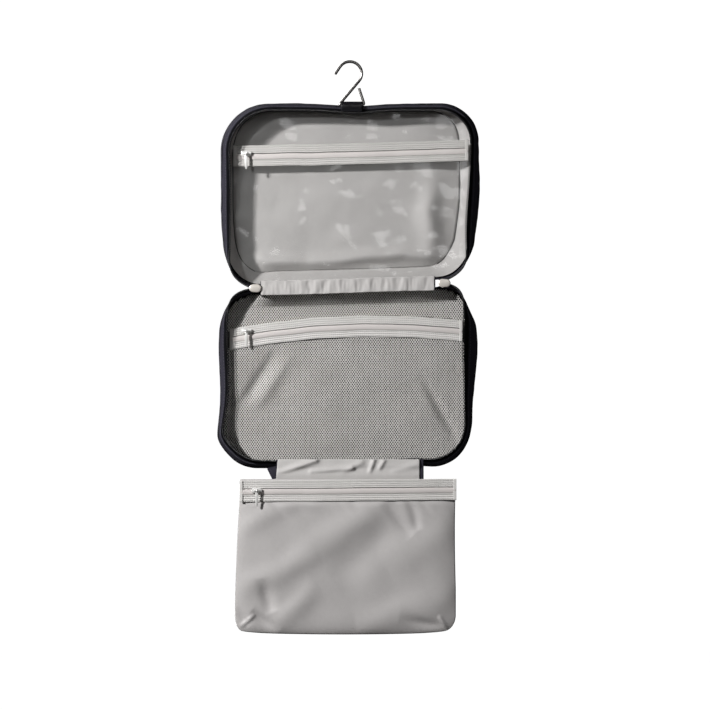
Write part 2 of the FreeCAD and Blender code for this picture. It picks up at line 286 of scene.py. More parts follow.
def rim_depth(shell, u):
    """Depth of the zip's free edge behind the rims' plane: the tape lies flatter along the left side."""
    return bumps(((9.0, 0.76, 0.075),), u)


def on_rim(shell, u, f):
    """Point of the leaning zip tape, f of the way from the seam to its free edge."""
    return around(shell, u, RIM_WIDE * f, -2.6 * f, out=-bumps(SHELLS[shell]["lean"], u) * f)


def spot(x, reach, depth, side):
    """Place in metres of a point given in mm: across, away from the fold, and back from the rims."""
    sag = 3.3 * math.tanh(x / 90) * math.exp(-((reach / 42) ** 2))
    return (x * MM, RIM_Y + depth * MM, FOLD_Z + (side * reach + sag) * MM)


def soft(x, y, z, size, seed=0.0):
    """Smooth noise from -1 to 1 with bumps about size mm apart."""
    return noise.noise(Vector((x / size + seed, y / size - seed, z / size + 2 * seed)))


def edit(piece, *steps):
    """Runs edit-mode operators on all of a piece."""
    bpy.ops.object.select_all(action="DESELECT")
    piece.select_set(True)
    bpy.context.view_layer.objects.active = piece
    bpy.ops.object.mode_set(mode="EDIT")
    bpy.ops.mesh.select_all(action="SELECT")
    for step in steps:
        step()
    bpy.ops.object.mode_set(mode="OBJECT")


def close_seams():
    bpy.ops.mesh.remove_doubles(threshold=0.00002)
    bpy.ops.mesh.normals_make_consistent(inside=False)


def cloth(name, across, along, layout, size, thickness=0.0, offset=0.0, closed=False):
    """Grid laid out by layout(u, v), with a UV map of the given size in metres, and a thickness in mm."""
    bpy.ops.object.select_all(action="DESELECT")
    bpy.ops.mesh.primitive_grid_add(x_subdivisions=across, y_subdivisions=along, size=2)
    piece = bpy.context.object
    piece.name = piece.data.name = name
    for vertex in piece.data.vertices:
        vertex.co = layout((vertex.co.x + 1) / 2, (vertex.co.y + 1) / 2)
    for loop in piece.data.uv_layers[0].data:
        loop.uv = (loop.uv[0] * size[0], loop.uv[1] * size[1])
    if closed:
        edit(piece, close_seams)
    elif sum(polygon.normal.y * polygon.area for polygon in piece.data.polygons) > 0:
        edit(piece, bpy.ops.mesh.flip_normals)
    bpy.ops.object.shade_smooth()
    if thickness:
        wall = piece.modifiers.new("wall", "SOLIDIFY")
        wall.thickness = thickness * MM
        wall.offset = offset
        bpy.ops.object.modifier_apply(modifier="wall")
    return piece


def finish_piece(piece, material, body, slot_name, *nodes):
    """Gives a piece its cloth or metal and its body, and hides the CAD nodes it stands for; slot_name is not
    used.
    """
    piece.data.materials.clear()
    piece.data.materials.append(material)
    if nodes:
        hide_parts(*nodes)
    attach(piece, body)
    return piece


def woven_material(name, colour, light, pitch, roughness, relief, mottle=0.35, spec=0.3):
    """Cloth of crossing threads, pitch mm apart, with lighter worn threads and slow changes of tone."""
    material = plain_material(name, colour, roughness)
    tree = material.node_tree
    shader = tree.nodes["Principled BSDF"]
    shader.inputs["Specular IOR Level"].default_value = spec
    coords = add_node(tree, "ShaderNodeTexCoord")
    threads = []
    scale = 2 * math.pi / (20 * pitch * MM)
    for direction in ("X", "Y"):
        wave = add_node(tree, "ShaderNodeTexWave", {"Scale": scale, "Distortion": 0.6, "Detail Scale": 2})
        wave.bands_direction = direction
        link(coords, "UV", wave, "Vector")
        threads.append(wave)
    weave = add_node(tree, "ShaderNodeMath")
    weave.operation = "MAXIMUM"
    link(threads[0], "Fac", weave, 0)
    link(threads[1], "Fac", weave, 1)
    patches = add_node(tree, "ShaderNodeTexNoise", {"Scale": 260, "Detail": 8, "Roughness": 0.65})
    link(coords, "Object", patches, "Vector")
    blend = add_node(tree, "ShaderNodeMix", {0: mottle})
    link(weave, "Value", blend, 2)
    link(patches, "Fac", blend, 3)
    spread = add_node(tree, "ShaderNodeMapRange", {"From Min": 0.25, "From Max": 0.95})
    link(blend, 0, spread, "Value")
    tone = add_node(tree, "ShaderNodeMix", {6: (*colour, 1), 7: (*light, 1)})
    tone.data_type = "RGBA"
    link(spread, "Result", tone, 0)
    link(tone, 2, shader, "Base Color")
    bump = add_node(tree, "ShaderNodeBump", {"Strength": relief, "Distance": 0.0002})
    link(blend, 0, bump, "Height")
    link(bump, "Normal", shader, "Normal")
    return material


# One stitch, or one zip tooth, is a short bead with tapered ends. It is modelled once and copied along
# a line; each row of them is one piece.
bpy.ops.object.select_all(action="DESELECT")
bpy.ops.mesh.primitive_cylinder_add(vertices=5, radius=0.5, depth=0.6)
bead = bpy.context.object


def taper_ends():
    bpy.ops.mesh.select_all(action="DESELECT")
    bpy.ops.mesh.select_mode(type="FACE")
    for end in (1, -1):
        bpy.ops.object.mode_set(mode="OBJECT")
        for polygon in bead.data.polygons:
            polygon.select = polygon.normal.z * end > 0.9
        bpy.ops.object.mode_set(mode="EDIT")
        bpy.ops.mesh.extrude_region_move(TRANSFORM_OT_translate={"value": (0, 0, 0.2 * end)})
        bpy.ops.transform.resize(value=(0.45, 0.45, 1))
        bpy.ops.mesh.select_all(action="DESELECT")


edit(bead, taper_ends)
BEAD_POINTS = [vertex.co.copy() for vertex in bead.data.vertices]
BEAD_FACES = [tuple(polygon.vertices) for polygon in bead.data.polygons]
bpy.data.objects.remove(bead)


def strung(name, places, long, thick, material, body, slot_name, *nodes):
    """A row of beads at places (centre, direction), each long by thick mm."""
    vertices, faces = [], []
    for centre, direction in places:
        forward = Vector(direction).normalized()
        across = forward.cross(Vector((0, 1, 0)))
        if across.length < 0.1:
            across = forward.cross(Vector((1, 0, 0)))
        across.normalize()
        up = forward.cross(across)
        start = len(vertices)
        for p in BEAD_POINTS:
            turned = across * p.x * thick + up * p.y * thick + forward * p.z * long
            vertices.append(Vector(centre) + turned * MM)
        faces += [tuple(start + k for k in face) for face in BEAD_FACES]
    mesh = bpy.data.meshes.new(name)
    mesh.from_pydata(vertices, [], faces)
    piece = add_object(name, mesh)
    edit(piece, bpy.ops.mesh.normals_make_consistent)
    bpy.ops.object.shade_smooth()
    return finish_piece(piece, material, body, slot_name, *nodes)


def row(path, count, lift=(0, 0, 0)):
    """Places and directions of count stitches spread evenly along path(f), f from 0 to 1."""
    places = []
    for k in range(count):
        here, ahead = Vector(path((k + 0.3) / count)), Vector(path((k + 0.7) / count))
        places.append(((here + ahead) / 2 + Vector(lift) * MM, ahead - here))
    return places


# Gusset and outer panel: navy cloth. The gusset is turned over the seam to a topstitched lip on the zip
# tape, runs back round the foam and meets the gently domed outer panel in a corded seam.
NAVY = woven_material("navy_cloth", (0.013, 0.0125, 0.018), (0.042, 0.040, 0.053), 0.5, 0.8, 0.4, 0.5,
                      spec=0.05)
NAVY_THREAD = plain_material("navy_thread", (0.05, 0.05, 0.065), 0.7)
LIP = ((0.66, 4.6), (0.56, 6.0), (0.38, 9.0), (0.18, 12.0), (0.05, 14.2))
SIDE = ((-0.2, 17.0), (-0.7, 21.0), (-0.9, 26.0), (-0.6, 31.0), (0.1, 35.0), (1.0, 37.4), (2.2, 38.6))


def gusset_point(shell, u, v):
    """v runs from the lip's topstitched edge, over the seam and back to the outer panel."""
    side = SHELLS[shell]["side"]
    x, reach = around(shell, u, 0)
    calm = min(abs(reach) / 25, 1) * (1 - math.exp(-(((u - 0.5) / 0.035) ** 2)))
    swell = 0.8 * soft(x, reach, side * 40, 38, 3.0) * calm
    at = v * (len(LIP) + len(SIDE) - 1)
    k = min(int(at), len(LIP) + len(SIDE) - 2)
    profile = [(f, depth, True) for f, depth in LIP] + [(a, depth, False) for a, depth in SIDE]
    ends, base_x, base_reach = [], x, reach
    for amount, depth, on_lip in profile[k:k + 2]:
        crease = 0.35 * soft(base_x, base_reach, depth + side * 90, 9, 5.0)
        puff = 0.8 * math.sin(math.pi * min(depth / 15, 1)) if on_lip else swell * (1 - abs(depth - 27) / 13)
        if on_lip:
            x, reach = on_rim(shell, u, amount)
            depth = SEAM_DEPTH + (depth - SEAM_DEPTH) * (1 - rim_depth(shell, u) / SEAM_DEPTH)
        else:
            lean = NEAR_LEAN * (depth - SEAM_DEPTH) / 24
            x, reach = around(shell, u, amount, amount + lean, out=puff + crease * calm)
        ends.append(Vector(spot(x, reach, depth - (puff + crease if on_lip else 0), side)))
    return ends[0].lerp(ends[1], at - k)


for shell in SHELLS:
    body = shell + "_shell"
    side = SHELLS[shell]["side"]

    def gusset_shape(u, v):
        """Between the two ends of the zip the lip is left out, so the cloth starts at the seam there."""
        keep = min(max(TAPE_START - u, u - (1 - TAPE_START), 0) / 0.012, 1)
        return gusset_point(shell, u, v * (1 - 0.40 * keep) + 0.40 * keep)

    gusset = cloth(shell + "_gusset_cloth", 360, 22, gusset_shape, (0.8, 0.045), 0.8, -1.0, closed=True)
    finish_piece(gusset, NAVY, body, "navy_fabric", shell + "_gusset")

    def panel_shape(u, v):
        x, reach = around(shell, u, 2.0, 2.0 + NEAR_LEAN)
        x, reach = x * v, MIDDLE_REACH + (reach - MIDDLE_REACH) * v
        swell = 1.6 * (1 - v ** 4) + 0.5 * soft(x, reach, side * 30, 55, 7.0) * (1 - v ** 6)
        return spot(x, reach, 38.8 + swell, side)

    panel = cloth(shell + "_panel_cloth", 160, 30, panel_shape, (0.8, 0.13), 0.9, closed=True)
    finish_piece(panel, NAVY, body, "navy_fabric", shell + "_outer_panel")
    cord_points = []
    for k in range(96):
        x, reach = around(shell, k / 96, 1.0, 1.0 + NEAR_LEAN)
        cord_points.append(tuple(c / MM for c in spot(x, reach, 38.7, side)))
    piping = tube(shell + "_panel_cord", cord_points, 1.1, sides=8, closed=True)
    finish_piece(piping, NAVY, body, "navy_fabric")

    def lip_line(f):
        return gusset_point(shell, TAPE_START + 0.004 + f * (0.992 - 2 * TAPE_START), 0.10)

    lip_places = row(lip_line, 250, (0, -0.1, 0))
    strung(shell + "_lip_stitches", lip_places, 2.0, 0.55, NAVY_THREAD, body, "black_tape")


# Rim zip: black woven tape leaning in from the seam, with a nylon coil along its free edge. The zip
# runs round each shell from one end of the fold to the other.
BLACK_TAPE = woven_material("black_zip_tape", (0.0016, 0.0016, 0.002), (0.005, 0.005, 0.006), 0.9, 0.8, 0.5,
                            spec=0.03)
COIL_BLACK = plain_material("coil_black", (0.004, 0.004, 0.005), 0.4)
TEETH = 440
for shell in SHELLS:
    side = SHELLS[shell]["side"]
    body = shell + "_shell"

    def tape_shape(u, v):
        at = TAPE_START + u * (1 - 2 * TAPE_START)
        x, reach = on_rim(shell, at, 0.12 + 0.88 * v)
        free = rim_depth(shell, at)
        depth = free + (SEAM_DEPTH - free) * (0.88 - 0.88 * v) + 0.4 * soft(x, reach, 0, 16, 1.0) * v
        return spot(x, reach, depth, side)

    tape = cloth(shell + "_rim_tape", 320, 8, tape_shape, (0.7, 0.017), 0.6)
    finish_piece(tape, BLACK_TAPE, body, "black_tape", shell + "_zip_tape")
    teeth = []
    for k in range(TEETH):
        ends = []
        for f in (k / TEETH, (k + 1) / TEETH):
            at = TAPE_START + 0.006 + f * (0.988 - 2 * TAPE_START)
            x, reach = on_rim(shell, at, 1.10)
            depth = rim_depth(shell, at) - 0.7 + 0.4 * soft(x, reach, 0, 16, 1.0)
            ends.append(Vector(spot(x, reach, depth, side)))
        along = ends[1] - ends[0]
        teeth.append((ends[0], along.cross(Vector((0, 1, 0))) + along * 0.35))
    strung(shell + "_rim_coil", teeth, 2.1, 1.1, COIL_BLACK, body, "black_coil", shell + "_zip_coil")


# Inside of each shell: grey lining up the walls and over the foam, with a bound seam where they meet
# and a second binding behind the pocket's edge. In the front shell, behind the net, the whole lining is
# painted dark: a painted shade standing in for the shade that the net and the deep pocket throw. The
# floor is smaller than the rim, so the walls flare.
LINING = woven_material("grey_lining", (0.37, 0.355, 0.345), (0.50, 0.485, 0.475), 0.45, 0.6, 0.3)
# Painted shade: a much darker copy of the grey lining, used for the front shell's walls and floor in place
# of the shade behind the net.
PAINTED_SHADE_LINING = woven_material("painted_shade_lining", (0.035, 0.031, 0.027), (0.075, 0.068, 0.060), 0.45, 0.6, 0.3)
SEAM_TAPE = plain_material("lining_seam_tape", (0.035, 0.032, 0.030), 0.7)
FLOOR_IN, FLOOR_NEAR_IN, FLOOR_SHIFT = 15.0, 14.0, -4.0


def on_floor(shell, u):
    x, reach = around(shell, u, FLOOR_IN, FLOOR_NEAR_IN)
    return x + FLOOR_SHIFT, reach + 9.0 * min(max(reach - 92, 0) / 60, 1)


for shell in SHELLS:
    side = SHELLS[shell]["side"]
    body = shell + "_shell"
    # The upper shell gets the plain lining; the front shell gets the painted shade lining.
    lining_or_painted_shade = LINING if shell == "upper" else PAINTED_SHADE_LINING

    def wall_shape(u, v):
        x0, r0 = around(shell, u, 1.2)
        x1, r1 = on_floor(shell, u)
        f = v ** 1.2
        crease = 1.3 * soft(x0, r0, v * 9, 14, 4.0) * math.sin(math.pi * v)
        x, reach = x0 + (x1 - x0) * f, r0 + (r1 - r0) * f
        return spot(x + crease * 0.5, reach + crease * 0.4, 16.0 + 17.0 * v + crease * 0.4, side)

    wall = cloth(shell + "_wall_lining", 300, 12, wall_shape, (0.75, 0.02), 0.3, closed=True)
    finish_piece(wall, lining_or_painted_shade, body, "grey_lining", shell + "_gusset_lining")

    def floor_layout(u, v):
        x, reach = on_floor(shell, u)
        x, reach = x * v + FLOOR_SHIFT * (1 - v), MIDDLE_REACH + (reach - MIDDLE_REACH) * v
        ridge_x = 82 + 6 * soft(reach, 0, side, 30, 2.0)
        ridge_reach = 27 + 3.5 * math.sin(x / 27) + 2 * soft(x, 0, side, 22, 4.0)
        hollow = -7.5 * math.exp(-(((x - ridge_x) / 11) ** 2) - ((reach - 66) / 34) ** 2)
        hollow -= 7.0 * math.exp(-(((reach - ridge_reach) / 7.0) ** 2) - (x / 100) ** 8)
        if shell == "front":
            hollow = 0
        puff = 1.4 * soft(x, reach * 1.6, side * 11, 48, 2.0) + 0.4 * soft(x, reach, side, 17, 6.0)
        return spot(x, reach, 33.0 - 4.4 * (1 - v ** 7) + (puff + hollow) * (1 - v ** 12), side)

    back = cloth(shell + "_floor_lining", 200, 60, floor_layout, (0.75, 0.12), 0.3, closed=True)
    finish_piece(back, lining_or_painted_shade, body, "grey_lining", shell + "_back_lining")
    floor_points, edge_points = [], []
    for k in range(90):
        x, reach = on_floor(shell, 0.12 + 0.76 * k / 89)
        floor_points.append(tuple(c / MM for c in spot(x, reach, 32.4, side)))
        x, reach = around(shell, k / 90, 1.6)
        edge_points.append(tuple(c / MM for c in spot(x, reach, 16.4, side)))
    bound = tube(shell + "_floor_binding", floor_points, 0.6, sides=8)
    finish_piece(bound, SEAM_TAPE, body, "grey_lining")
    edge = tube(shell + "_edge_binding", edge_points, 0.8, sides=8, closed=True)
    finish_piece(edge, BLACK_TAPE, body, "black_tape", shell + "_seam_binding")


# Foam: a cut sheet of pale padding in each shell, sealed between the lining and the outer panel, with
# its edge held inside the gusset all round.
foam_pale = plain_material("pale_foam", (0.55, 0.55, 0.54), 0.9)
foam_tree = foam_pale.node_tree
foam_coords = add_node(foam_tree, "ShaderNodeTexCoord")
foam_cells = add_node(foam_tree, "ShaderNodeTexVoronoi", {"Scale": 1200})
foam_bump = add_node(foam_tree, "ShaderNodeBump", {"Strength": 0.4, "Distance": 0.0003})
link(foam_coords, "Object", foam_cells, "Vector")
link(foam_cells, "Distance", foam_bump, "Height")
link(foam_bump, "Normal", foam_tree.nodes["Principled BSDF"], "Normal")
FOAM_MIDDLE, FOAM_THICK, FOAM_IN = 36.0, 3.2, 4.5
for shell in SHELLS:

    def foam_shape(u, v):
        x, reach = around(shell, u, FOAM_IN, FOAM_IN + NEAR_LEAN)
        x, reach = x * v, MIDDLE_REACH + (reach - MIDDLE_REACH) * v
        return spot(x, reach, FOAM_MIDDLE + 0.8 * (1 - v ** 4), SHELLS[shell]["side"])

    foam = cloth(shell + "_foam_sheet", 120, 14, foam_shape, (0.8, 0.13), FOAM_THICK, closed=True)
    finish_piece(foam, foam_pale, shell + "_shell", "foam", shell + "_foam")


# Pocket zips: the coil lies behind, so each zip shows two ribbed tapes, the lower one with a smooth
# rolled edge below the slit. Each follows its own gentle curve, stitched down and patched at its ends.
GREY_TAPE = woven_material("grey_zip_tape", (0.50, 0.485, 0.47), (0.67, 0.655, 0.635), 0.9, 0.65, 0.5,
                           mottle=0.5)
# Painted shade: the clear pocket's tape is the grey tape coloured darker, standing in for the weaker light
# on the clear pocket's band.
SHADE_PAINTED_TAPE = woven_material("shade_painted_zip_tape", (0.42, 0.41, 0.395), (0.58, 0.565, 0.545), 0.9, 0.65, 0.5,
                           mottle=0.5)
ROLLED_EDGE = woven_material("rolled_tape_edge", (0.49, 0.455, 0.44), (0.60, 0.565, 0.55), 0.4, 0.5, 0.2)
RIB_THREAD = plain_material("grey_rib_thread", (0.30, 0.295, 0.28), 0.7)
COIL_GREY = plain_material("coil_grey", (0.10, 0.095, 0.09), 0.45)
ZIPS = {
    "clear": {"body": "upper_shell", "ends": (-117.0, 119.0), "z": (-94.9, -92.9, -89.2),
              "depth": 14.6, "side": 1},
    "mesh": {"body": "front_shell", "ends": (-120.5, 113.0), "z": (-278.6, -266.5, -271.2),
             "depth": 14.6, "side": -1},
    "pouch": {"body": "pouch", "ends": (-109.4, 105.8), "z": (-430.7, -429.7, -428.6),
              "depth": -12.4, "side": -1},
}
ZIP_TALL = 10.5            # half the height of a zip's band
SLIT = 2.2                 # height of the slit over the zip's middle line
POCKET_TEETH = 170
RIB_ROWS = (4.3, 6.3, 8.4, 9.9, -4.9, -6.9, -8.8, -10.1)
PATCH_WIDE = 3.4


def zip_middle(zip_name, x):
    """Height of a zip's middle line at x, in mm: a gentle curve through three heights."""
    left, middle, right = ZIPS[zip_name]["z"]
    f = x / 115.0
    return middle + (right - left) / 2 * f + ((left + right) / 2 - middle) * f * f


def on_zip(zip_name, x, offset, lift=0.0):
    """Place in metres on a zip: x across, offset up from its middle line, lift forward, in mm."""
    seed = ZIPS[zip_name]["z"][1]
    ripple = 0.5 * soft(x, offset, seed, 30, 8.0)
    z = zip_middle(zip_name, x) + offset + 0.45 * soft(x, 0, seed, 24, 2.0)
    return (x * MM, RIM_Y + (ZIPS[zip_name]["depth"] - lift + ripple) * MM, z * MM)


for zip_name, values in ZIPS.items():
    x0, x1 = values["ends"]
    body = values["body"]
    # The clear zip gets the painted shade copy of the grey tape; the others get the grey tape itself.
    tape_or_shade_painted_tape = SHADE_PAINTED_TAPE if zip_name == "clear" else GREY_TAPE
    upper_part, lower_part = ("far", "near") if values["side"] > 0 else ("near", "far")

    def tape_up(u, v):
        x, offset = x0 + (x1 - x0) * u, SLIT + 0.35 + (ZIP_TALL - SLIT - 0.35) * v
        return on_zip(zip_name, x, offset, 0.25 + 0.25 * math.cos((offset - 3.2) * 2 * math.pi / 2.05))

    def tape_down(u, v):
        x, offset = x0 + (x1 - x0) * u, -ZIP_TALL + (ZIP_TALL + SLIT - 0.35) * v
        if offset > -3.6:
            roll = max(1 - ((offset + 0.9) / 2.75) ** 2, 0)
            return on_zip(zip_name, x, offset, 0.1 + 0.85 * math.sqrt(roll))
        return on_zip(zip_name, x, offset, 0.25 + 0.25 * math.cos((offset + 4.8) * 2 * math.pi / 2.05))

    tape = cloth(zip_name + "_upper_tape", 190, 16, tape_up, ((x1 - x0) * MM, 0.008), 0.4)
    finish_piece(tape, tape_or_shade_painted_tape, body, "grey_tape", zip_name + "_zip_tape_" + upper_part)
    tape = cloth(zip_name + "_lower_tape", 190, 26, tape_down, ((x1 - x0) * MM, 0.012), 0.4)
    finish_piece(tape, tape_or_shade_painted_tape, body, "grey_tape", zip_name + "_zip_tape_" + lower_part)
    tape.data.materials.append(ROLLED_EDGE)
    for polygon in tape.data.polygons:
        centre = polygon.center
        if centre.z / MM - zip_middle(zip_name, centre.x / MM) > -3.5:
            polygon.material_index = 1

    teeth = []
    for k in range(POCKET_TEETH):
        x = x0 + 5 + (x1 - x0 - 10) * (k + 0.5) / POCKET_TEETH
        teeth.append((on_zip(zip_name, x, SLIT, -0.15), (0.35 * (-1) ** k, 0, 1)))
    strung(zip_name + "_teeth", teeth, 1.7, 0.9, COIL_GREY, body, "grey_coil", zip_name + "_coil")
    rows = []
    for offset in RIB_ROWS:

        def rib_line(f):
            return on_zip(zip_name, x0 + 1 + (x1 - x0 - 2) * f, offset, 0.62)

        rows += row(rib_line, 120)
    strung(zip_name + "_rib_stitches", rows, 0.95, 0.42, RIB_THREAD, body, "grey_tape")
    hollow = []
    for k in range(25):
        place = on_zip(zip_name, x0 + 1 + (x1 - x0 - 2) * k / 24, -3.75, 0.3)
        hollow.append(tuple(c / MM for c in place))
    fold_line = tube(zip_name + "_fold_line", hollow, 0.32, sides=8)
    finish_piece(fold_line, RIB_THREAD, body, "grey_tape")

    def patch_shape(u, v):
        """Two narrow strips in one grid: the left end for the first half of u, the right for the rest."""
        at = x0 - 0.3 + PATCH_WIDE * u * 2 if u < 0.5 else x1 + 0.3 - PATCH_WIDE * (1 - u) * 2
        return on_zip(zip_name, at, (ZIP_TALL + 0.2) * (2 * v - 1), 0.95)

    patch = cloth(zip_name + "_end_patches", 13, 20, patch_shape, (0.007, 0.021))
    bpy.ops.object.mode_set(mode="EDIT")
    bpy.ops.mesh.select_mode(type="FACE")
    bpy.ops.object.mode_set(mode="OBJECT")
    for polygon in patch.data.polygons:
        polygon.select = abs(polygon.center.x - (x0 + x1) / 2 * MM) < (x1 - x0) / 2 * MM - 4 * MM
    bpy.ops.object.mode_set(mode="EDIT")
    bpy.ops.mesh.delete(type="FACE")
    bpy.ops.object.mode_set(mode="OBJECT")
    wall = patch.modifiers.new("wall", "SOLIDIFY")
    wall.thickness = 0.35 * MM
    wall.offset = 0
    bpy.ops.object.modifier_apply(modifier="wall")
    finish_piece(patch, tape_or_shade_painted_tape, body, "grey_tape", zip_name + "_zip_ends")


# Clear pocket: soft glossy film above and below the zip, a little too large for its frame, so that it
# lies in shallow waves, with tighter puckers where it is sewn in.
FILM = plain_material("clear_film", (0.60, 0.60, 0.59), 0.14)
FILM.node_tree.nodes["Principled BSDF"].inputs["IOR"].default_value = 3.4
film_tree = FILM.node_tree
film_shader = film_tree.nodes["Principled BSDF"]
film_facing = add_node(film_tree, "ShaderNodeLayerWeight", {"Blend": 0.25})
film_clear = add_node(film_tree, "ShaderNodeMapRange", {"To Min": 0.13, "To Max": 0.65})
film_coords = add_node(film_tree, "ShaderNodeTexCoord")
film_ripples = add_node(film_tree, "ShaderNodeTexNoise", {"Scale": 24, "Detail": 1.5})
film_bump = add_node(film_tree, "ShaderNodeBump", {"Strength": 0.8, "Distance": 0.004})
link(film_facing, "Facing", film_clear, "Value")
link(film_clear, "Result", film_shader, "Alpha")
link(film_coords, "Object", film_ripples, "Vector")
link(film_ripples, "Fac", film_bump, "Height")
link(film_bump, "Normal", film_shader, "Normal")


def side_edges(shell, amount):
    """(reach, x) points of a shell's right and left sides, from the fold outwards."""
    right = [around(shell, k / 400, amount) for k in range(0, 201)]
    left = [around(shell, 1 - k / 400, amount) for k in range(0, 201)]
    return right, left


def edge_at(points, reach):
    """Half width at a distance from the fold, from one side's points."""
    found = 0.0
    for (x0, r0), (x1, r1) in zip(points, points[1:]):
        if min(r0, r1) <= reach <= max(r0, r1):
            f = (reach - r0) / (r1 - r0) if r1 != r0 else 0
            found = max(found, abs(x0 + (x1 - x0) * f))
    return found


film_right, film_left = side_edges("upper", 2.2)
for part, along, flat in (("far", 36, (0.244, 0.043)), ("near", 90, (0.250, 0.122))):
    away = 1 if part == "far" else -1
    outer = max(r for x, r in film_right) - 0.5 if part == "far" else 5.4

    def film_shape(u, v):
        x = 0.0
        for attempt in range(3):
            start = zip_middle("clear", x) - FOLD_Z / MM + away * (ZIP_TALL - 1.2)
            reach = start + (outer - start) * v
            left, right = edge_at(film_left, reach), edge_at(film_right, reach)
            x = -left + (left + right) * u
        edge = min(1, 9 * u, 9 * (1 - u)) * min(1, 7 * v, 7 * (1 - v))
        wave = 2.4 * soft(x, reach * 2.4, 1, 62, 1.5) + 1.2 * soft(x * 1.3, reach * 2, 3, 27, 2.5)
        rim = math.exp(-((min(u, 1 - u) * 14) ** 2)) + math.exp(-(((1 - v) * 7) ** 2))
        pucker = 2.0 * rim * soft(x * 1.4, reach * 1.4, 5, 13, 3.5)
        return spot(x, reach, 15.3 + (wave + pucker - 0.6) * edge, 1)

    film = cloth("clear_film_" + part, 160, along, film_shape, flat)
    finish_piece(film, FILM, "upper_shell", "clear_film", "clear_sheet_" + part)


# Mesh pocket: knitted net with a diamond hole between its strands, soft enough to bag a little and to
# crease from the zip's ends towards the lower corners.
NET_WIDE, NET_TALL = 2.48, 3.53
NET_HOLE = 0.70
NET_THREAD = woven_material("net_thread", (0.60, 0.58, 0.56), (0.74, 0.72, 0.70), 0.3, 0.65, 0.3, mottle=0.6)


def from_line(x, z, xa, za, xb, zb):
    """How far along a line from a to b the nearest point to (x, z) is, 0 to 1, and its distance."""
    f = min(max(((x - xa) * (xb - xa) + (z - za) * (zb - za)) / ((xb - xa) ** 2 + (zb - za) ** 2), 0), 1)
    return f, math.hypot(x - xa - (xb - xa) * f, z - za - (zb - za) * f)


def net_depth(x, z):
    depth = 15.3 + 1.7 * soft(x, z * 1.5, 4, 52, 9.0) + 0.8 * soft(x, z, 4, 21, 9.5)
    creases = ((70.0, -312.0, 112.0, -388.0, 5.0, 3.6), (-72.0, -288.0, -112.0, -352.0, 6.0, 3.4),
               (-60.0, -296.0, -96.0, -352.0, 6.0, -2.6))
    for x0, z0, x1, z1, wide, high in creases:
        f, away = from_line(x, z, x0, z0, x1, z1)
        depth += high * math.sin(math.pi * f) * math.exp(-((away / wide) ** 2))
    rise = (1 - min(max((FOLD_Z / MM - z - 6) / 13, 0), 1)) / (1 + math.exp((abs(x) - 90) / 4))
    return depth * (1 - rise) + 0.6 * rise


net_right, net_left = side_edges("front", 2.0)
for part, flat, area in (("far", (0.252, 0.131), 0.0120), ("near", (0.232, 0.036), 0.0026)):
    half_x, half_z = NET_WIDE / 2, NET_TALL / 2
    vertices, index, faces = [], {}, []

    def knot(a, b, kind, x, reach):
        if (a, b, kind) not in index:
            index[(a, b, kind)] = len(vertices)
            depth = net_depth(x, FOLD_Z / MM - reach) + (0.2 if kind else 0.0)
            vertices.append(spot(x, reach, depth, -1))
        return index[(a, b, kind)]

    for b in range(int(190 / half_z)):
        reach = b * half_z
        left, right = edge_at(net_left, reach), edge_at(net_right, reach)
        for a in range(-int(left / half_x), int(right / half_x) + 1):
            beyond = reach + zip_middle("mesh", a * half_x) - FOLD_Z / MM
            inside = beyond > 9.0 if part == "far" else beyond < -9.0
            if (a + b) % 2 or not inside or not -left + half_x < a * half_x < right - half_x:
                continue
            steps = ((1, 0), (0, 1), (-1, 0), (0, -1))
            outer, inner = [], []
            for k, (i, j) in enumerate(steps):
                outer.append(knot(a + i, b + j, 0, (a + i) * half_x, reach + j * half_z))
                inner.append(knot(a, b, 1 + k, (a + i * NET_HOLE) * half_x, reach + j * half_z * NET_HOLE))
            faces += [(outer[k], outer[(k + 1) % 4], inner[(k + 1) % 4], inner[k]) for k in range(4)]
    net_mesh = bpy.data.meshes.new("net_" + part)
    net_mesh.from_pydata(vertices, [], faces)
    net = add_object("net_" + part, net_mesh)
    edit(net, bpy.ops.mesh.normals_make_consistent)
    if sum(polygon.normal.y for polygon in net_mesh.polygons) > 0:
        edit(net, bpy.ops.mesh.flip_normals)
    bpy.ops.object.shade_smooth()
    finish_piece(net, NET_THREAD, "front_shell", "grey_mesh", "mesh_sheet_" + part)


# Fold between the shells: a strip of lining gathered over a navy strip. Both lie in the rims' plane,
# from shell to shell.
def strip_shape(depth, left, right, high, gather):
    def layout(u, v):
        x = left + (right - left) * u
        reach = -high + 2 * high * v
        pleat = gather * (soft(x * 1.5, reach * 0.5, 0, 11, 2.0) + 0.4 * soft(x * 3, reach * 0.8, 0, 9, 4.0))
        return spot(x, reach, depth + pleat * (1 - abs(reach / high) ** 6), 1)

    return layout


for name, shape, material, slot_name, nodes in (
    ("fold_lining", strip_shape(-1.3, -88.6, 84.6, 7.2, 0.9), LINING, "grey_lining",
     ("upper_hinge_lining", "front_hinge_lining")),
    ("fold_cloth", strip_shape(0.4, -89.4, 85.6, 7.0, 0.3), NAVY, "navy_fabric",
     ("upper_hinge_fabric", "front_hinge_fabric")),
):
    strip = cloth(name, 260, 18, shape, (0.172, 0.015), 0.35)
    strip.data.materials.append(material)
    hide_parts(*nodes)
    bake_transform(strip)


# Pouch: a flat bag of lining cloth, a front and a back that meet round the edge, slack in the middle
# and tucked at its boxed lower corners.
POUCH = woven_material("pouch_cloth", (0.36, 0.343, 0.337), (0.47, 0.453, 0.447), 0.45, 0.45, 0.25)
POUCH_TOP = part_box("pouch_back")[1].z / MM
POUCH_LOW = -571.6
POUCH_CORNER = 17
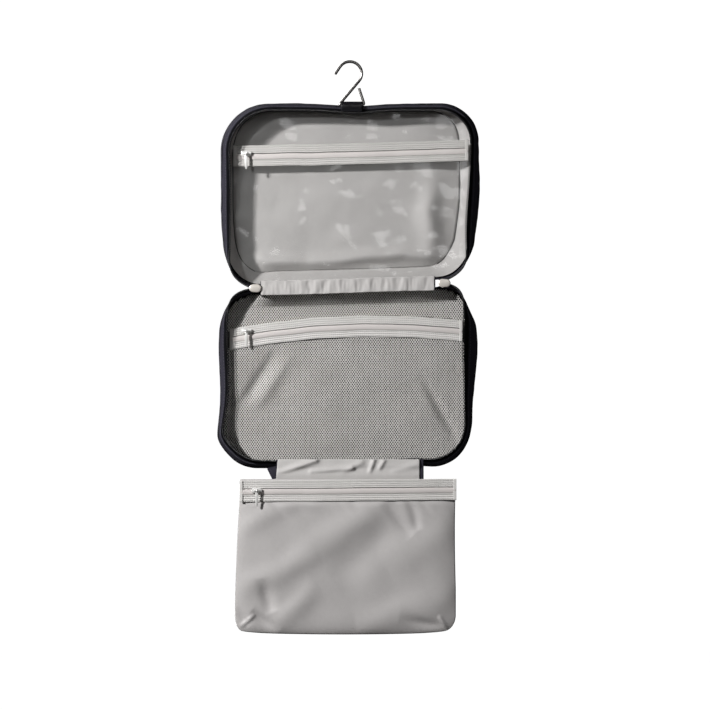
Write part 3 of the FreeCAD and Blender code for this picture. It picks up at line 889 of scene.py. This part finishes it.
# Long soft folds in the front sheet: two ends (x, z), width and height, in mm.
POUCH_FOLDS = (
    ((-124, -536), (-30, -492), 11, 3.4), ((-66, -508), (36, -440), 13, 3.6),
    ((-80, -572), (-30, -524), 9, 2.8), ((6, -566), (110, -534), 12, 3.6),
    ((36, -506), (116, -464), 15, 2.2), ((-118, -474), (-50, -440), 9, 2.0),
    ((-115, -574), (-93, -552), 2.2, 3.0), ((-98, -550), (-70, -570), 5.5, -3.2),
    ((-88, -518), (-76, -552), 6, -2.8), ((-116, -548), (-99, -566), 4.5, -3.0),
    ((48, -556), (96, -563), 5.5, -2.6), ((89, -551), (102, -569), 2.0, 3.2),
    ((30, -438), (62, -476), 6, -2.4), ((60, -438), (68, -470), 5, -2.0),
    ((-16, -520), (52, -462), 15, -2.4),
)


def ease(f):
    """0 below 0 and 1 above 1, with a smooth rise between."""
    f = min(max(f, 0), 1)
    return f * f * (3 - 2 * f)


def pouch_edge(z):
    """Left and right edge of the pouch at a height, in mm."""
    down = (POUCH_TOP - z) / (POUCH_TOP - POUCH_LOW)
    left = -109.6 - 3.6 * math.sin(math.pi * min(down, 0.62) / 1.24) ** 2
    left -= 1.2 * min(max(down - 0.55, 0) * 4, 1)
    right = 105.6 - 0.9 * math.sin(math.pi * min(down * 1.4, 1))
    return left, right


def pouch_sheet(front):
    """Front or back sheet; both meet in the seam at mid depth."""
    sign = -1 if front else 1

    def layout(u, v):
        across = 2 * u - 1
        z = POUCH_LOW + (POUCH_TOP - POUCH_LOW) * v - 1.8 * (1 - across ** 2) * (1 - v) ** 4
        left, right = pouch_edge(z)
        low = POUCH_LOW + POUCH_CORNER
        if z < low:
            drop = (low - z) / POUCH_CORNER
            left += 8.0 * (1 - math.sqrt(max(1 - drop * drop * 0.96, 0)))
            right -= 13.0 * (1 - math.sqrt(max(1 - drop * drop * 0.96, 0)))
        x = left + (right - left) * u
        z += 1.6 * abs(across) ** 10 * (1 - v) ** 6
        round_off = (1 - abs(across) ** 12) * (1 - abs(2 * v - 1) ** 16)
        lift = 3.2
        if front:
            px, pz = x + 4 * soft(x, z, 2, 34, 11.0), z + 4 * soft(x, z, 9, 34, 12.0)
            for (xa, za), (xb, zb), wide, high in POUCH_FOLDS:
                f, away = from_line(px, pz, xa, za, xb, zb)
                lift += high * (1 - abs(2 * f - 1) ** 2.5) * math.exp(-((away / wide) ** 2))
        gather = math.exp(-(max(POUCH_TOP - 24 - z, 0) / 11) ** 2)
        lift += 1.7 * gather * soft(x + z * 0.9, z * 0.35, 0, 10, 7.0)
        lift += 1.0 * soft(x + z * 0.6, z * 0.7 - x * 0.3, sign, 30, 6.0)
        limit = 2.2 + 5.6 * ease((-440 - z) / 7)
        lift = limit * math.tanh(max(lift, 0.2) / limit)
        depth = -9.0 + sign * (0.3 + max(lift, 0.2) * round_off * (1 if front else 0.8))
        return (x * MM, RIM_Y + min(max(depth, -16.5), -5.2) * MM, z * MM)

    return layout


for name, front, across, along in (("pouch_front", True, 190, 140), ("pouch_back", False, 120, 90)):
    sheet = cloth(name + "_cloth", across, along, pouch_sheet(front), (0.216, 0.155), 0.4)
    finish_piece(sheet, POUCH, "pouch", "pouch_fabric", name)


# Flap: lining in front and navy cloth behind, sewn inside the front shell's far rim, folded over the
# zip and stitched to the back of the pouch. The lining is creased where it hangs from the seam.
FLAP_FOLD_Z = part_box("flap_lining_free")[1].z
FLAP_TOP = -399.2
FLAP_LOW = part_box("flap_lining_free")[0].z / MM
FLAP_CREASES = (
    ((-72, -414), (-34, -400), 3.0, 2.6), ((-38, -412), (2, -408), 2.6, 2.4),
    ((-8, -414), (12, -402), 3.0, 1.2), ((24, -400), (20, -412), 2.2, 2.0),
    ((34, -401), (30, -408), 2.2, 1.6), ((46, -412), (68, -404), 4.0, 1.3),
)


def flap_shape(left, right, layer):
    def layout(u, v):
        z = FLAP_TOP + (FLAP_LOW - FLAP_TOP) * v
        down = min((FLAP_TOP - z) / 20, 1)
        x0, x1 = left[0] + (left[1] - left[0]) * down, right[0] + (right[1] - right[0]) * down
        if layer:
            x0 = -73.0 + (x0 + 73.0) * ease((-405.5 - z) / 3)
        x = x0 + (x1 - x0) * u
        lean = ease((-407 - z) / 9)
        depth = -2.2 - 1.1 * min(v * 5, 1) - 1.9 * lean
        lift = 0.35 * soft(x * 0.6, z * 1.3, 1, 8, 2.0)
        for (xa, za), (xb, zb), wide, high in FLAP_CREASES:
            away = from_line(x, z, xa, za, xb, zb)[1]
            lift += high * math.exp(-((away / wide) ** 2))
        lift *= max(1 - lean, 0.15) * (1 if layer == 0 else 0.2)
        return (x * MM, RIM_Y + (depth - lift + layer) * MM, z * MM)

    return layout


for name, left, right, layer, material, slot_name in (
    ("flap_lining", (-72.0, -73.6), (69.8, 69.6), 0.0, LINING, "grey_lining"),
    ("flap_backing", (-87.5, -77.4), (73.8, 73.8), 0.75, NAVY, "navy_fabric"),
):
    flap = cloth(name + "_cloth", 150, 34, flap_shape(left, right, layer), (0.142, 0.034), 0.3)
    flap.data.materials.append(material)
    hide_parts(name + "_root", name + "_free")
    start, end = (0, FOLD_Y, FLAP_FOLD_Z + 0.003), (0, FOLD_Y, FLAP_FOLD_Z - 0.003)
    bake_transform(flap)
    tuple(start)
    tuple(end)


# Hook loop: black webbing round the hook's bar, over the top of the upper shell and down over its rim.
# It is one length, laid in a ring that closes under the bar.
WEBBING = woven_material("black_webbing", (0.002, 0.002, 0.003), (0.009, 0.009, 0.011), 1.1, 0.7, 0.9,
                         spec=0.06)
LOOP_RING = 2.4            # middle of the webbing to the middle of the bar
LOOP_LEFT, LOOP_RIGHT = -8.6, 12.8


def loop_shape(u, v):
    """v runs from the ring's inner turn forward over the shell and down the rim; u across the webbing."""
    top = FOLD_Z / MM + SHELLS["upper"]["far"]
    rim = RIM_Y / MM
    path = []
    for degrees in range(-80, 261, 20):
        a = math.radians(degrees)
        path.append((LOOP_RING * math.cos(a), BAR_Z + LOOP_RING * math.sin(a)))
    path += [(-2.0, top - 1.7), (-7.0, top - 1.7), (-13.0, top - 1.8), (rim + 8, top - 3.0)]
    path += [(rim + 2, top - 5.2), (rim - 2.2, top - 7.8), (rim - 2.6, top - 9.6)]
    at = v * (len(path) - 1)
    k = min(int(at), len(path) - 2)
    y, z = Vector(path[k]).lerp(Vector(path[k + 1]), at - k)
    return ((LOOP_LEFT + (LOOP_RIGHT - LOOP_LEFT) * u) * MM, y * MM, z * MM)


loop = cloth("hook_webbing", 16, 120, loop_shape, (0.021, 0.06), 0.8)
finish_piece(loop, WEBBING, "upper_shell", "black_webbing", "hook_loop")


# Zip sliders and pullers: plated die-cast sliders, and slim stamped pullers. The two on the rim are
# blunt shields, parked at the ends of the fold; the pockets' own are small, with a bridge for the eye.
NICKEL = chrome_material("zip_nickel", (0.80, 0.79, 0.77), 0.30, 0.1)
WARM_NICKEL = chrome_material("zip_warm_nickel", (0.66, 0.62, 0.57), 0.36, 0.2)
for metal in (NICKEL, WARM_NICKEL):
    metal.node_tree.nodes["Principled BSDF"].inputs["Metallic"].default_value = 0.45
BODY_WIDE, BODY_HIGH, BODY_THICK = 10.0, 5.6, 1.7
TAB_WIDE, TAB_LONG, TAB_THICK = 3.0, 14.0, 0.9
BRIDGE = ((-2.9, -0.6), (-2.6, 2.2), (2.6, 2.2), (2.9, -0.6))
RIM_SLIDER_R, RIM_SLIDER_THICK = 0.0043, 0.0028


def soften(piece, width):
    """Rounds a piece's sharp edges by width in metres."""
    bevel = piece.modifiers.new("soften", "BEVEL")
    bevel.width = width
    bevel.segments = 3
    bevel.limit_method = "ANGLE"
    bpy.ops.object.modifier_apply(modifier="soften")
    bpy.ops.object.shade_smooth_by_angle(angle=math.radians(40))


def bevelled_block(name, wide, thick, high, bevel):
    """Block with softened edges, centred on the origin, in mm."""
    bpy.ops.object.select_all(action="DESELECT")
    bpy.ops.mesh.primitive_cube_add(size=1)
    block = bpy.context.object
    block.name = block.data.name = name
    for vertex in block.data.vertices:
        vertex.co = (vertex.co.x * wide * MM, vertex.co.y * thick * MM, vertex.co.z * high * MM)

    def soften_edges():
        bpy.ops.mesh.subdivide(number_cuts=1)
        bpy.ops.mesh.select_all(action="SELECT")

    edit(block, soften_edges)
    for vertex in block.data.vertices:
        if abs(vertex.co.x) > wide * 0.4 * MM:
            vertex.co.z *= 0.62 if vertex.co.x > 0 else 0.80
    soften(block, bevel * MM)
    return block


def joined(name, pieces):
    """Joins small pieces into the first, and moves nothing."""
    bpy.ops.object.select_all(action="DESELECT")
    for piece in pieces:
        piece.select_set(True)
    bpy.context.view_layer.objects.active = pieces[0]
    bpy.ops.object.join()
    pieces[0].name = pieces[0].data.name = name
    return pieces[0]


for zip_name in ZIPS:
    low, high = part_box(zip_name + "_slider")
    tab_low, tab_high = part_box(zip_name + "_puller")
    pin = Vector(((tab_low.x + tab_high.x) / 2, (tab_low.y + tab_high.y) / 2, tab_high.z - 1.7 * MM))
    plate_y = high.y / MM - BODY_THICK / 2 - 0.4
    block = bevelled_block("plate", BODY_WIDE, BODY_THICK, BODY_HIGH, 0.5)
    block.data.transform(Matrix.Translation((pin.x, plate_y * MM, (low.z + high.z) / 2)))
    front = plate_y - BODY_THICK / 2
    arch = [(pin.x / MM + dx, front - dy, pin.z / MM) for dx, dy in BRIDGE]
    bridge = tube("bridge", arch, 0.62, sides=12)
    slider = joined(zip_name + "_slider_body", [block, bridge])
    finish_piece(slider, NICKEL, zip_name + "_slider", "zip_metal", zip_name + "_slider")
    tab = bevelled_block("tab", TAB_LONG, TAB_THICK, TAB_WIDE, 0.35)
    tab.data.transform(Matrix.Rotation(math.radians(90), 4, "Y"))
    tab.data.transform(Matrix.Translation((pin.x, pin.y, pin.z - (TAB_LONG / 2 + 1.6) * MM)))
    loop_points = []
    for k in range(14):
        a = 2 * math.pi * k / 14
        y, z = pin.y / MM + 1.35 * math.cos(a), pin.z / MM - 0.3 + 1.7 * math.sin(a)
        loop_points.append((pin.x / MM, y, z))
    eye = tube("eye", loop_points, 0.5, sides=8, closed=True)
    puller = joined(zip_name + "_puller_tab", [tab, eye])
    finish_piece(puller, NICKEL, zip_name + "_puller", "zip_metal", zip_name + "_puller")
for hand, direction in (("left", -1), ("right", 1)):
    low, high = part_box("main_slider_" + hand)
    centre = (low + high) / 2
    sag = spot(centre.x / MM, 0, 0, 1)[2] - FOLD_Z
    bpy.ops.object.select_all(action="DESELECT")
    bpy.ops.mesh.primitive_cylinder_add(
        vertices=32, radius=RIM_SLIDER_R, depth=RIM_SLIDER_THICK, rotation=(math.pi / 2, 0, 0))
    nose = bpy.context.object
    nose.name = nose.data.name = "rim_slider_" + hand
    nose.data.transform(nose.matrix_world)
    nose.matrix_world.identity()
    for vertex in nose.data.vertices:
        stretch = -3.6 * MM * direction if vertex.co.x * direction < -0.0001 else 0
        tall = 1.0 if vertex.co.x * direction < -0.0001 else 0.92
        vertex.co = (vertex.co.x + stretch + centre.x + 3.4 * MM * direction, vertex.co.y + centre.y,
                     vertex.co.z * tall + centre.z + sag)
    soften(nose, 0.9 * MM)
    finish_piece(nose, WARM_NICKEL, "main_slider_" + hand, "zip_metal_warm", "main_slider_" + hand)
for node_name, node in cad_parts.items():
    if node_name.startswith("main_puller"):
        node.data.materials.clear()
        node.data.materials.append(WARM_NICKEL)
